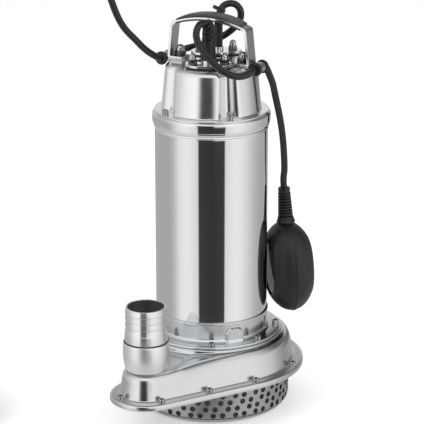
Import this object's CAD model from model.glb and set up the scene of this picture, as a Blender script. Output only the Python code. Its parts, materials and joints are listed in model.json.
"""Submersible sump pump: studio, cables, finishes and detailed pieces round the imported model.

Sizes are millimetres, as in the part's drawing, unless said otherwise; MM turns them into metres.
"""

from __future__ import annotations

import json
import math
from dataclasses import dataclass
from typing import Callable, Sequence

import bmesh
import bpy
from mathutils import Matrix, Vector

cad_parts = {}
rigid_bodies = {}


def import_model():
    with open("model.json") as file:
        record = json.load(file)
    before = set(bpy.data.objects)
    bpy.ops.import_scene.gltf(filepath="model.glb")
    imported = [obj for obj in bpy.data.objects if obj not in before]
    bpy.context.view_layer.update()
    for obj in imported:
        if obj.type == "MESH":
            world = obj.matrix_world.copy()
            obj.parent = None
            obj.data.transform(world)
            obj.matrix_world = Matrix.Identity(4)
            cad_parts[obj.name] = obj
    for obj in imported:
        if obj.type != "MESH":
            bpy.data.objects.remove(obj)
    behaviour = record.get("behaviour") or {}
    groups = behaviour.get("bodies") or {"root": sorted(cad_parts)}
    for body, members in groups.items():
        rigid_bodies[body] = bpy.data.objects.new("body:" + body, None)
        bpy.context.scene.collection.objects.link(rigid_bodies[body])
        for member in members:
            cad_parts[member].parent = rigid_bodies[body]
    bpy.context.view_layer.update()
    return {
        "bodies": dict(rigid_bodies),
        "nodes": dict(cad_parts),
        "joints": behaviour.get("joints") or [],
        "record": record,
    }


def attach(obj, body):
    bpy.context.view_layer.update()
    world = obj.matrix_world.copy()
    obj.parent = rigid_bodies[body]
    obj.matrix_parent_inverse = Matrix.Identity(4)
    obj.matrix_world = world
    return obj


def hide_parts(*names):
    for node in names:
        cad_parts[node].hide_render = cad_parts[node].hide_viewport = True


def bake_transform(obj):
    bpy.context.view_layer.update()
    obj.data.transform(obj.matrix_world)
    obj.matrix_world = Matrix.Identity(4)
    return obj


MM = 0.001
PUMP, FLOAT = "pump", "float"

Object, Tree, Socket, BMesh = bpy.types.Object, bpy.types.NodeTree, bpy.types.NodeSocket, bmesh.types.BMesh
Pair = tuple[float, float]
Triple = tuple[float, float, float]
Ring = Sequence[Vector]
Colour = Sequence[float]

# Sizes that several sub-assemblies share
CABLE_D = 8.5
CABLE_R = CABLE_D / 2
PORT = (-78.8, -128.0)  # axis of the discharge
PORT_Z = 88.0  # top of the volute's small end
PLATEAU_Z = 95.0  # top of the volute's big end
RIM_Z = 49.5  # where foot and volute meet
CAN_R = 70.0
CAN_Z0, CAN_Z1 = 123.5, 366.0
DOME_Z = 438.0
HANDLE_TURN = -28.0  # direction of the handle, in degrees
EYE_AT, EYE_Z = 65.0, 438.2  # distance of the cable eyes from the shaft, and their height
NECK = (94.0, 20.0, 227.4)  # neck of the hanging float
FLOAT_TILT = -3.7  # its lean, in degrees
BOOT_TOP = 44.0  # top of the float's boot above its neck


# --- Numbers and outlines ---------------------------------------------------------------------


def mix(a, b, share: float):
    """Value between a and b, for numbers and vectors alike."""
    return a + (b - a) * share


def spread(a, b, parts: int) -> list:
    """Values from a to b in equal parts, both ends included."""
    return [mix(a, b, i / parts) for i in range(parts + 1)]


def clamp(value: float) -> float:
    """Value kept between 0 and 1."""
    return max(0.0, min(1.0, value))


def ease(low: float, high: float, value: float) -> float:
    """Smooth step of value from 0 at low to 1 at high."""
    t = clamp((value - low) / (high - low))
    return t * t * (3 - 2 * t)


def polar(radius: float, degrees: float) -> Vector:
    """Point of the XY plane at a radius and an angle."""
    return Vector((radius * math.cos(math.radians(degrees)), radius * math.sin(math.radians(degrees))))


def bezier(a: Vector, b: Vector, c: Vector, d: Vector, t: float) -> Vector:
    """Point on a cubic curve with end points a, d and handles b, c."""
    return a * (1 - t) ** 3 + b * (3 * t * (1 - t) ** 2) + c * (3 * t * t * (1 - t)) + d * t**3


def signed_power(value: float, power: float) -> float:
    """Power of a value's size, with its sign kept; it squares off a circle."""
    return math.copysign(abs(value) ** power, value)


def apart(az: float, other: float) -> float:
    """Angle from one direction to another, between -180 and 180 degrees."""
    return (az - other + 180) % 360 - 180


def fillet(corners: Sequence[Triple], steps: int = 5, closed: bool = True) -> list[Pair]:
    """Outline through (x, y, radius) corners, rounded by their radii; an open one keeps its two ends."""
    points: list[Pair] = []
    count = len(corners)
    for i, (x, y, radius) in enumerate(corners):
        here = Vector((x, y))
        at_end = not closed and i in (0, count - 1)
        if radius <= 0 or at_end:
            points.append((x, y))
            continue
        before = Vector(corners[i - 1][:2]) - here
        after = Vector(corners[(i + 1) % count][:2]) - here
        half = before.angle(after) / 2
        reach = min(radius / math.tan(half), 0.49 * before.length, 0.49 * after.length)
        a, b = here + before.normalized() * reach, here + after.normalized() * reach
        for k in range(steps + 1):
            t = k / steps
            p = a * (1 - t) ** 2 + here * (2 * t * (1 - t)) + b * t * t
            points.append((p.x, p.y))
    return points


def stadium(length: float, width: float, steps: int = 14) -> list[Pair]:
    """Outline of an oval plate with two round ends, its length along X."""
    half, radius = (length - width) / 2, width / 2
    return [
        (side * half + radius * math.cos(a), radius * math.sin(a))
        for side, start in ((1, -90), (-1, 90))
        for a in (math.radians(start + 180 * k / steps) for k in range(steps + 1))
    ]


def smooth_path(points: Sequence[Vector], step: float) -> list[Vector]:
    """Points a step apart on a smooth curve through the given ones, from the first to the last."""
    fine: list[Vector] = []
    last = len(points) - 1
    for i in range(last):
        p0, p1 = points[max(i - 1, 0)], points[i]
        p2, p3 = points[i + 1], points[min(i + 2, last)]
        m1, m2 = (p2 - p0) / 2, (p3 - p1) / 2
        for k in range(8):
            t = k / 8
            a, b = 2 * t**3 - 3 * t**2 + 1, t**3 - 2 * t**2 + t
            c, d = -2 * t**3 + 3 * t**2, t**3 - t**2
            fine.append(p1 * a + m1 * b + p2 * c + m2 * d)
    fine.append(points[last])
    even, travelled, wanted = [fine[0]], 0.0, step
    for a, b in zip(fine, fine[1:]):
        stretch = (b - a).length
        while stretch > 0 and travelled + stretch >= wanted:
            even.append(mix(a, b, (wanted - travelled) / stretch))
            wanted += step
        travelled += stretch
    if (even[-1] - fine[-1]).length < step / 2:
        even.pop()
    even.append(fine[-1])
    return even


def hexagon(flats: float, points: int, turn: float = 0.0) -> list[Vector]:
    """Points spread evenly over a hexagon's sides, a multiple of six of them."""
    corners = [polar(flats / 2 / math.cos(math.pi / 6), 60 * i + turn) for i in range(6)]
    each = points // 6
    return [mix(corners[i], corners[(i + 1) % 6], k / each) for i in range(6) for k in range(each)]


def circle(radius: float, points: int, turn: float = 0.0) -> list[Vector]:
    """Points on a circle."""
    return [polar(radius, 360 * k / points + turn) for k in range(points)]


def raised(outline: Sequence[Vector], height: float) -> list[Vector]:
    """A flat outline put at a height."""
    return [Vector((p.x, p.y, height)) for p in outline]


# --- Meshes -----------------------------------------------------------------------------------


def link(name: str, mesh: bpy.types.Mesh) -> Object:
    """Object of a mesh, put into the scene at the origin."""
    obj = bpy.data.objects.new(name, mesh)
    bpy.context.scene.collection.objects.link(obj)
    return obj


def shade(mesh: bpy.types.Mesh, sharp: float) -> None:
    """Smooth shading, with edges sharper than an angle in degrees left sharp."""
    mesh.shade_smooth()
    mesh.set_sharp_from_angle(angle=math.radians(sharp))


def to_object(name: str, bm: BMesh, sharp: float) -> Object:
    """Object from a bmesh, its faces turned outwards, its doubles merged."""
    bmesh.ops.remove_doubles(bm, verts=bm.verts, dist=1e-7)
    bmesh.ops.recalc_face_normals(bm, faces=bm.faces)
    mesh = bpy.data.meshes.new(name)
    bm.to_mesh(mesh)
    bm.free()
    shade(mesh, sharp)
    return link(name, mesh)


def loft(
    name: str, rings: Sequence[Ring], wrap: bool = False, sharp: float = 32.0, bm: BMesh | None = None
) -> Object | None:
    """Skin through closed rings of equal length; unless it wraps, its two ends are capped.

    Edges sharper than an angle in degrees stay sharp. A given bmesh takes the skin, and no object is made.
    """
    own = bm is None
    bm = bmesh.new() if own else bm
    uv = bm.loops.layers.uv.verify()
    verts = [[bm.verts.new(p * MM) for p in ring] for ring in rings]
    count, around = len(rings), len(rings[0])
    along = [0.0]
    for a, b in zip(rings, rings[1:]):
        along.append(along[-1] + (b[0] - a[0]).length * MM)
    for i in range(count if wrap else count - 1):
        j = (i + 1) % count
        for k in range(around):
            m = (k + 1) % around
            face = bm.faces.new((verts[i][k], verts[i][m], verts[j][m], verts[j][k]))
            v0, v1 = along[i], along[j] if j else along[i] + MM
            spots = ((k, v0), (k + 1, v0), (k + 1, v1), (k, v1))
            for corner, (u, v) in zip(face.loops, spots):
                corner[uv].uv = (u / around, v)
    if not wrap:
        bm.faces.new(list(reversed(verts[0])))
        bm.faces.new(verts[-1])
    return to_object(name, bm, sharp) if own else None


def plain_radius(radius: float, _height: float, _az: float) -> float:
    """Radius of a turned piece that is the same all round."""
    return radius


def turned(profile: Sequence[Pair], segments: int, place: Matrix = Matrix(), radius_at=plain_radius) -> list:
    """Rings of (radius, height) points; radius_at changes the radius by height and direction."""
    around = [360 * k / segments for k in range(segments)]
    return [
        [place @ p for p in raised([polar(radius_at(radius, height, az), az) for az in around], height)]
        for radius, height in profile
    ]


def revolve(
    name: str, profile: Sequence[Pair], centre: Pair = (0.0, 0.0), segments: int = 160, sharp: float = 32.0,
    bm: BMesh | None = None,
) -> Object | None:
    """Turned piece round an upright axis, from its closed (radius, height) profile."""
    return loft(name, turned(profile, segments, Matrix.Translation((*centre, 0))), True, sharp, bm)


def slab(bm: BMesh, outline: Sequence[Pair], low: float, high: float, place: Matrix) -> None:
    """Adds a straight prism of an outline between two heights, moved by a matrix."""
    ends = [[bm.verts.new((place @ Vector((x, y, z))) * MM) for x, y in outline] for z in (low, high)]
    count = len(outline)
    for k in range(count):
        m = (k + 1) % count
        bm.faces.new((ends[0][k], ends[0][m], ends[1][m], ends[1][k]))
    bm.faces.new(list(reversed(ends[0])))
    bm.faces.new(ends[1])


def bevel(obj: Object, width: float, segments: int = 3, angle: float = 35.0) -> Object:
    """Rounds the sharp edges of a piece by a width in millimetres."""
    modifier = obj.modifiers.new("Edge rounding", "BEVEL")
    modifier.width = width * MM
    modifier.segments = segments
    modifier.limit_method = "ANGLE"
    modifier.angle_limit = math.radians(angle)
    modifier.harden_normals = True
    return obj


def sweep(name: str, path: Sequence[Vector], radius: float, sides: int) -> Object:
    """Round tube with closed ends along a route; route and radius are in metres."""
    last = len(path) - 1
    tangents = [(path[min(i + 1, last)] - path[max(i - 1, 0)]).normalized() for i in range(last + 1)]
    normal = tangents[0].orthogonal().normalized()
    rings = []
    for centre, tangent in zip(path, tangents):
        normal = (normal - tangent * normal.dot(tangent)).normalized()
        side = tangent.cross(normal)
        angles = [math.tau * k / sides for k in range(sides)]
        rings.append([(centre + radius * (math.cos(a) * normal + math.sin(a) * side)) / MM for a in angles])
    return loft(name, rings, sharp=50)


# --- Node trees -------------------------------------------------------------------------------


def add(tree: Tree, kind: str, inputs: dict | None = None, **settings):
    """Adds a node; its inputs are named or numbered, each with a value or with the socket that feeds it."""
    node = tree.nodes.new(kind)
    for key, value in settings.items():
        setattr(node, key, value)
    for key, value in (inputs or {}).items():
        if isinstance(value, Socket):
            tree.links.new(value, node.inputs[key])
        else:
            node.inputs[key].default_value = value
    return node


def maths(tree: Tree, operation: str, *values: float | Socket) -> Socket:
    """Result of one arithmetic step."""
    return add(tree, "ShaderNodeMath", dict(enumerate(values)), operation=operation).outputs[0]


def blend(tree: Tree, share: float | Socket, a: Colour | Socket, b: Colour | Socket) -> Socket:
    """Colour between two."""
    return add(tree, "ShaderNodeMix", {0: share, 6: a, 7: b}, data_type="RGBA").outputs[2]


def noise(tree: Tree, place: Socket, scale: float, detail: float = 2.0) -> Socket:
    """Soft noise from 0 to 1."""
    return add(tree, "ShaderNodeTexNoise", {"Vector": place, "Scale": scale, "Detail": detail}).outputs["Fac"]


def ranged(tree: Tree, value: Socket, span: Pair, result: Pair = (0.0, 1.0), kind: str = "LINEAR") -> Socket:
    """Value carried from one span to another."""
    inputs = {"Value": value, 1: span[0], 2: span[1], 3: result[0], 4: result[1]}
    return add(tree, "ShaderNodeMapRange", inputs, interpolation_type=kind).outputs[0]


def xyz(tree: Tree, **parts: float | Socket) -> Socket:
    """Vector of its parts X, Y and Z."""
    return add(tree, "ShaderNodeCombineXYZ", parts).outputs[0]


def grey(level: float) -> tuple[float, ...]:
    """Neutral colour of a brightness."""
    return (level, level, level, 1.0)


def linear(code: str) -> tuple[float, ...]:
    """Linear colour of an sRGB hex code such as #A0A0A0."""
    parts = [int(code[i : i + 2], 16) / 255 for i in (1, 3, 5)]
    return (*(p / 12.92 if p <= 0.04045 else ((p + 0.055) / 1.055) ** 2.4 for p in parts), 1.0)


def empty_tree(owner: bpy.types.Material | bpy.types.World) -> Tree:
    """Cleared node tree of a material or a world."""
    owner.use_nodes = True
    owner.node_tree.nodes.clear()
    return owner.node_tree


# --- Finishes ---------------------------------------------------------------------------------

# Which way the marks of the making run: 1 for each of the axes x, y and z that they are long on
UPRIGHT, LEVEL, LENGTHWISE, EVEN = (0, 0, 1), (1, 1, 0), (1, 0, 0), (0, 0, 0)


@dataclass(frozen=True)
class Finish:
    """One real finish, and the material that shows it."""

    title: str
    slot: str  # the record's material slot
    run: tuple[int, int, int]
    tones: tuple[str, str]  # darker and lighter sRGB colour
    metallic: float
    roughness: Pair
    grain: Pair = (0.6, 0.6)  # size of the marks across and along them
    relief: float = 0.01  # their depth
    cloud: float = 18.0  # size of the soft patches between the two tones
    anisotropy: float = 0.0  # how far the marks stretch a reflection across them
    heading: float = 0.0  # direction in degrees of marks that run level along a piece
    sheen: float = 0.0  # soft edge light of rubber and plastic
    detail: float = 2.0  # finer marks within the marks
    marked: float = 0.35  # share of the marks in the tone

    def material(self) -> bpy.types.Material:
        """The finish's material, built once."""
        return bpy.data.materials.get(self.title) or self.build()

    def build(self) -> bpy.types.Material:
        """Builds the finish's material: tone, roughness and relief from patches and marks."""
        material = bpy.data.materials.new(self.title)
        tree = empty_tree(material)
        place = add(tree, "ShaderNodeTexCoord").outputs["Object"]
        patches = noise(tree, place, 1 / (self.cloud * MM), 3.0)
        across, along = (size * MM for size in self.grain)
        stretch = {
            "Vector": place, "Rotation": (0.0, 0.0, math.radians(self.heading)),
            "Scale": tuple(along if is_long else across for is_long in self.run),
        }
        scaled = add(tree, "ShaderNodeMapping", stretch, vector_type="TEXTURE").outputs[0]
        marks = noise(tree, scaled, 1.0, self.detail)
        patched = maths(tree, "MULTIPLY", patches, 1 - self.marked)
        share = maths(tree, "MULTIPLY_ADD", marks, self.marked, patched)
        relief = {"Strength": 1.0, "Distance": self.relief * MM, "Height": marks}
        surface = {
            "Base Color": blend(tree, share, *(linear(tone) for tone in self.tones)),
            "Roughness": ranged(tree, patches, (0.3, 0.7), self.roughness),
            "Normal": add(tree, "ShaderNodeBump", relief).outputs[0],
            "Metallic": self.metallic,
            "Sheen Weight": self.sheen,
        }
        if self.anisotropy:
            tangent = add(tree, "ShaderNodeTangent", direction_type="UV_MAP").outputs[0]
            surface |= {"Anisotropic": self.anisotropy, "Anisotropic Rotation": 0.25, "Tangent": tangent}
        shader = add(tree, "ShaderNodeBsdfPrincipled", surface)
        add(tree, "ShaderNodeOutputMaterial", {"Surface": shader.outputs[0]})
        return material


# Deep-drawn stainless steel, polished to a mirror: it shows the room, with faint drawing marks upwards
MIRROR = Finish(
    "Polished stainless steel", "polished_stainless", UPRIGHT, ("#E6E8E9", "#F0F1F1"), 1.0,
    (0.045, 0.075), grain=(0.9, 40.0), relief=0.0006, cloud=60.0)
# Drawn stainless steel of the dome, finished on a spinning pad: fine rings, reflections drawn out upwards
SPUN = Finish(
    "Spun stainless steel", "polished_stainless", LEVEL, ("#E0E2E3", "#EEEFEF"), 1.0,
    (0.19, 0.25), grain=(0.6, 50.0), relief=0.0015, cloud=30.0, anisotropy=0.7)
# Rolled stainless steel of the lower collar: greyer, with softly drawn-out reflections
ROLLED = Finish(
    "Rolled stainless steel", "polished_stainless", LEVEL, ("#CCCED0", "#E2E4E5"), 1.0,
    (0.15, 0.2), grain=(0.7, 40.0), relief=0.002, cloud=26.0, anisotropy=0.6)
# Pressed stainless steel, buffed over slight waves of the pressing: soft reflections that swim a little
PRESSED = Finish(
    "Pressed stainless steel", "polished_stainless", EVEN, ("#CFD1D2", "#E0E1E2"), 1.0,
    (0.18, 0.23), grain=(26.0, 26.0), relief=0.04, cloud=40.0)
# Top of that pressing, where the tool's face left it smoother: clearer pictures of the can above
BUFFED = Finish(
    "Smooth pressed stainless steel", "polished_stainless", EVEN, ("#C0C2C4", "#D6D8D9"), 1.0,
    (0.09, 0.13), grain=(26.0, 26.0), relief=0.03, cloud=40.0)
# Turned stainless steel of the hose tail: tool rings stretch each reflection upwards
TURNED = Finish(
    "Turned stainless steel", "polished_stainless", LEVEL, ("#E2E4E5", "#F0F1F1"), 1.0,
    (0.22, 0.27), grain=(0.5, 60.0), relief=0.002, cloud=30.0, anisotropy=0.9)
# Ledges of the hose tail's teeth: worn matt, a thin even line round the tail
WORN_EDGE = Finish(
    "Worn tooth edge", "satin_stainless", EVEN, ("#B4B6B8", "#C4C6C8"), 1.0,
    (0.5, 0.6), grain=(0.8, 0.8), relief=0.002, cloud=14.0)
# Blasted sleeve under the tail: pale and nearly without reflections
BLASTED = Finish(
    "Blasted stainless steel", "satin_stainless", EVEN, ("#F0F1F2", "#F6F7F7"), 1.0,
    (0.34, 0.4), grain=(0.6, 0.6), relief=0.003, cloud=30.0)
# Satin steel of the perforated foot, bead blasted: grey, with a soft gleam
SATIN = Finish(
    "Satin stainless steel", "satin_stainless", EVEN, ("#A4A6A8", "#B8BABB"), 1.0,
    (0.34, 0.42), grain=(0.7, 0.7), relief=0.006, cloud=30.0)
# Brushed strip of the handle: lines along the strip, darker than the mirror parts
BRUSHED = Finish(
    "Brushed stainless strip", "satin_stainless", UPRIGHT, ("#ABADAF", "#C8CACC"), 1.0,
    (0.26, 0.34), grain=(0.7, 22.0), relief=0.004, cloud=14.0)
# Cut and rolled edge of that strip: worn bright by hands
BRIGHT_EDGE = Finish(
    "Bright edge of the strip", "satin_stainless", EVEN, ("#E2E4E5", "#F0F1F1"), 1.0,
    (0.16, 0.22), grain=(1.0, 1.0), relief=0.002, cloud=14.0)
# Inside of the foot, left as it came from the press: dull and dark
UNDRESSED = Finish(
    "Undressed stainless steel", "satin_stainless", EVEN, ("#3A3B3C", "#4C4D4E"), 1.0,
    (0.5, 0.6), grain=(0.9, 0.9), relief=0.008, cloud=20.0)
# Bright stainless screws, cold formed and tumbled
FASTENER = Finish(
    "Tumbled stainless fasteners", "steel_screws", EVEN, ("#A2A4A6", "#C2C4C5"), 1.0,
    (0.15, 0.23), grain=(0.8, 0.8), relief=0.004, cloud=6.0)
# Cap nuts, polished: small bright and dark pictures of the room
CAP_NUT = Finish(
    "Polished cap nuts", "polished_stainless", EVEN, ("#B0B2B4", "#D2D4D5"), 1.0,
    (0.06, 0.1), grain=(1.2, 1.2), relief=0.002, cloud=6.0)
# Rolled flats of those nuts, left duller than the caps
NUT_FLATS = Finish(
    "Rolled nut flats", "polished_stainless", EVEN, ("#5C5E61", "#7C7E81"), 1.0,
    (0.16, 0.24), grain=(0.8, 0.8), relief=0.003, cloud=6.0)
# Moulded nitrile rubber: matt black with a fine grain
RUBBER = Finish(
    "Moulded black rubber", "black_rubber", EVEN, ("#121314", "#1B1C1E"), 0.0,
    (0.36, 0.48), grain=(0.8, 0.8), relief=0.012, cloud=12.0, sheen=0.03)
# Rubber sheath of the cables: extruded, a little shiny along its length
SHEATH = Finish(
    "Extruded cable rubber", "cable_rubber", EVEN, ("#141617", "#1D1F20"), 0.0,
    (0.2, 0.28), grain=(1.4, 1.4), relief=0.015, cloud=20.0, sheen=0.02)
# Grip pad: grey rubber, grained along the handle
GRIP = Finish(
    "Grained grip rubber", "grip_rubber", LENGTHWISE, ("#0E0F10", "#5E6063"), 0.0,
    (0.4, 0.55), grain=(6.0, 60.0), relief=0.12, cloud=8.0, heading=HANDLE_TURN, sheen=0.04, marked=0.8)
NYLON = Finish(
    "Black nylon", "black_nylon", EVEN, ("#121315", "#1A1B1D"), 0.0,
    (0.34, 0.46), grain=(0.9, 0.9), relief=0.01, cloud=10.0)
# Blow-moulded polypropylene of the float: satin, with the mould's fine texture
FLOAT_PLASTIC = Finish(
    "Moulded polypropylene", "float_plastic", EVEN, ("#121516", "#1A1D1E"), 0.0,
    (0.38, 0.48), grain=(0.7, 0.7), relief=0.014, cloud=26.0, sheen=0.03)
# Sunken side faces of the float, smooth from the mould's polished plates
FLOAT_GLOSS = Finish(
    "Glossy float face", "float_plastic", EVEN, ("#141718", "#1C1F20"), 0.0,
    (0.05, 0.08), grain=(0.9, 0.9), relief=0.002, cloud=26.0)
PLUG_PLASTIC = Finish(
    "Moulded plug plastic", "plug_plastic", EVEN, ("#202123", "#2C2D2F"), 0.0,
    (0.4, 0.5), grain=(0.8, 0.8), relief=0.012, cloud=14.0)
PLATED_BRASS = Finish(
    "Nickel-plated brass", "plated_brass", EVEN, ("#C9C4B8", "#DDD9CF"), 1.0,
    (0.14, 0.2), grain=(0.6, 0.6), relief=0.003, cloud=5.0)
CAST_IRON = Finish(
    "Machined cast iron", "cast_iron", EVEN, ("#6C6E70", "#86888A"), 1.0,
    (0.5, 0.62), grain=(1.5, 1.5), relief=0.06, cloud=12.0, detail=6.0)
GROUND_STEEL = Finish(
    "Ground bearing steel", "bearing_steel", LEVEL, ("#C6C8CA", "#DCDEDF"), 1.0,
    (0.16, 0.22), grain=(0.4, 20.0), relief=0.002, cloud=8.0)
LAMINATIONS = Finish(
    "Stacked laminations", "lamination_steel", LEVEL, ("#77797D", "#9A9CA0"), 1.0,
    (0.4, 0.5), grain=(0.5, 80.0), relief=0.03, cloud=16.0)
COPPER = Finish(
    "Enamelled copper wire", "copper_winding", LEVEL, ("#A9622F", "#CC8450"), 1.0,
    (0.3, 0.4), grain=(0.8, 24.0), relief=0.08, cloud=10.0)
CARBON = Finish(
    "Seal carbon", "seal_carbon", EVEN, ("#2F3032", "#3E3F41"), 0.0,
    (0.35, 0.45), grain=(0.6, 0.6), relief=0.004, cloud=6.0, detail=6.0)
SEAL_STEEL = Finish(
    "Seal head steel", "seal_steel", LEVEL, ("#C4C6C7", "#DADCDD"), 1.0,
    (0.18, 0.26), grain=(0.4, 18.0), relief=0.002, cloud=8.0)
CAPACITOR_CAN = Finish(
    "White capacitor can", "capacitor_white", EVEN, ("#E3E2DC", "#EFEEE9"), 0.0,
    (0.4, 0.5), grain=(1.0, 1.0), relief=0.01, cloud=20.0)
TERMINAL = Finish(
    "Ivory terminal block", "terminal_ivory", EVEN, ("#DDD6C2", "#EAE4D3"), 0.0,
    (0.42, 0.52), grain=(1.0, 1.0), relief=0.01, cloud=12.0)
SWITCH = Finish(
    "Red switch block", "switch_red", EVEN, ("#98332B", "#AE4238"), 0.0,
    (0.4, 0.5), grain=(1.0, 1.0), relief=0.01, cloud=10.0)
POLYMER = Finish(
    "Glass-filled impeller polymer", "impeller_polymer", EVEN, ("#B59565", "#CDB083"), 0.0,
    (0.42, 0.55), grain=(0.9, 0.9), relief=0.02, cloud=14.0, detail=6.0)

SLOT_FINISHES = {
    finish.slot: finish
    for finish in (
        MIRROR, SATIN, FASTENER, RUBBER, SHEATH, GRIP, NYLON, FLOAT_PLASTIC, PLUG_PLASTIC, PLATED_BRASS,
        CAST_IRON, GROUND_STEEL, LAMINATIONS, COPPER, CARBON, SEAL_STEEL, CAPACITOR_CAN, TERMINAL, SWITCH,
        POLYMER,
    )
}


def dress(obj: Object, finish: Finish, body: str | None = PUMP, replaced: Sequence[str] = ()) -> Object:
    """Gives a piece its finish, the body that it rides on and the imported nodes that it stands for.

    A piece that is blended between two bodies later has no body here.
    """
    obj.data.materials.clear()
    obj.data.materials.append(finish.material())
    if replaced:
        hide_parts(*replaced)
    if body:
        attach(obj, body)
    return obj


def add_finish(obj: Object, finish: Finish, chosen: Callable[[bpy.types.MeshPolygon], bool]) -> None:
    """Gives the chosen faces of a dressed piece one more finish."""
    obj.data.materials.append(finish.material())
    for face in obj.data.polygons:
        if chosen(face):
            face.material_index = len(obj.data.materials) - 1


def keep_out_of_mirrors(*pieces: Object) -> None:
    """Keeps pieces out of the polished steel's reflections, so that it shows the studio alone."""
    for piece in pieces:
        piece.visible_glossy = False


def remake(
    frame: dict, node: str, name: str, finish: Finish, rounding: float = 0.0, steps: int = 3,
    sharp: float = 28.0,
) -> Object:
    """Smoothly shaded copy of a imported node, its loose triangles merged and its edges rounded."""
    mesh = frame["nodes"][node].data.copy()
    bm = bmesh.new()
    bm.from_mesh(mesh)
    bmesh.ops.remove_doubles(bm, verts=bm.verts, dist=2e-6)
    bmesh.ops.dissolve_limit(bm, angle_limit=math.radians(0.3), verts=bm.verts, edges=bm.edges)
    bm.to_mesh(mesh)
    bm.free()
    shade(mesh, sharp)
    piece = dress(link(name, mesh), finish, PUMP, (node,))
    return bevel(piece, rounding, steps) if rounding else piece


# --- Geometry node trees and fasteners --------------------------------------------------------


def new_tree(title: str, inputs: dict[str, str]) -> tuple[Tree, Sequence[Socket]]:
    """Geometry node tree with inputs of the named kinds, and its input node's outputs."""
    tree = bpy.data.node_groups.new(title, "GeometryNodeTree")
    for name, kind in {"Geometry": "Geometry", **inputs}.items():
        tree.interface.new_socket(name, in_out="INPUT", socket_type=f"NodeSocket{kind}")
    tree.interface.new_socket("Geometry", in_out="OUTPUT", socket_type="NodeSocketGeometry")
    return tree, add(tree, "NodeGroupInput").outputs


def close_tree(tree: Tree, geometry: Socket, finish: Finish) -> None:
    """Ends a tree in Realize Instances, Set Material and its output."""
    real = add(tree, "GeometryNodeRealizeInstances", {"Geometry": geometry}).outputs[0]
    painted = add(tree, "GeometryNodeSetMaterial", {"Geometry": real, "Material": finish.material()})
    add(tree, "NodeGroupOutput", {0: painted.outputs[0]})


def stand(tree: Tree, points: Socket, piece: Socket, **inputs: Socket) -> Socket:
    """A piece standing on every point."""
    inputs |= {"Points": points, "Instance": piece}
    return add(tree, "GeometryNodeInstanceOnPoints", inputs).outputs[0]


def grow(obj: Object, tree: Tree, values: dict, sharp: float = 32.0) -> Object:
    """Runs a geometry node tree with its input values on a piece and keeps the result as its plain mesh."""
    modifier = obj.modifiers.new(tree.name, "NODES")
    modifier.node_group = tree
    for item in tree.interface.items_tree:
        if item.item_type == "SOCKET" and item.in_out == "INPUT" and item.name in values:
            modifier[item.identifier] = values[item.name]
    obj.update_tag()
    graph = bpy.context.evaluated_depsgraph_get()
    mesh = bpy.data.meshes.new_from_object(obj.evaluated_get(graph))
    obj.modifiers.remove(modifier)
    obj.data = mesh
    shade(mesh, sharp)
    return obj


def fasten(name: str, spots: Sequence[Vector], model: Object, finish: Finish, seed: int) -> Object:
    """Group of like fasteners, each turned by chance on its seat; the one model is used up."""
    inputs = {"Fastener": "Object", "Most Turn": "Float", "Seed": "Int"}
    tree, given = new_tree(f"Fasteners of {finish.title.lower()}", inputs)
    one = add(tree, "GeometryNodeObjectInfo", {"Object": given["Fastener"]}).outputs["Geometry"]
    chance = {"Seed": given["Seed"], 2: 0.0, 3: given["Most Turn"]}
    turn = add(tree, "FunctionNodeRandomValue", chance, data_type="FLOAT").outputs[1]
    close_tree(tree, stand(tree, given["Geometry"], one, Rotation=xyz(tree, Z=turn)), finish)
    mesh = bpy.data.meshes.new(name)
    mesh.from_pydata([tuple(p * MM) for p in spots], [], [])
    values = {"Fastener": model, "Most Turn": math.tau / 6, "Seed": seed}
    group = grow(link(name, mesh), tree, values, sharp=28)
    bpy.data.objects.remove(model)
    return group


def socket_screws(name: str, node: str, spots: Sequence[Vector], seed: int) -> None:
    """M5 socket-head screws, each with a chamfered head and a real hexagon socket."""
    size, n = 5.0, 24
    head, key = 0.825 * size, 0.8 * size
    sections = (
        (circle(0.8 * size / 2, n), -0.4), (circle(head - 0.15, n), 0.0), (circle(head, n), 0.25),
        (circle(head, n), size - 0.55), (circle(head - 0.2, n), size - 0.2), (circle(head - 0.55, n), size),
        (circle(key / 2 + 0.5, n, -30), size), (hexagon(key, n, -30), size - 0.3),
        (hexagon(key - 0.1, n, -30), size - 2.6), (circle(0.4, n, -30), size - 3.1),
    )
    screw = loft("one_screw", [raised(*section) for section in sections], sharp=28)
    dress(fasten(name, spots, screw, FASTENER, seed), FASTENER, PUMP, (node,))


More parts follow.
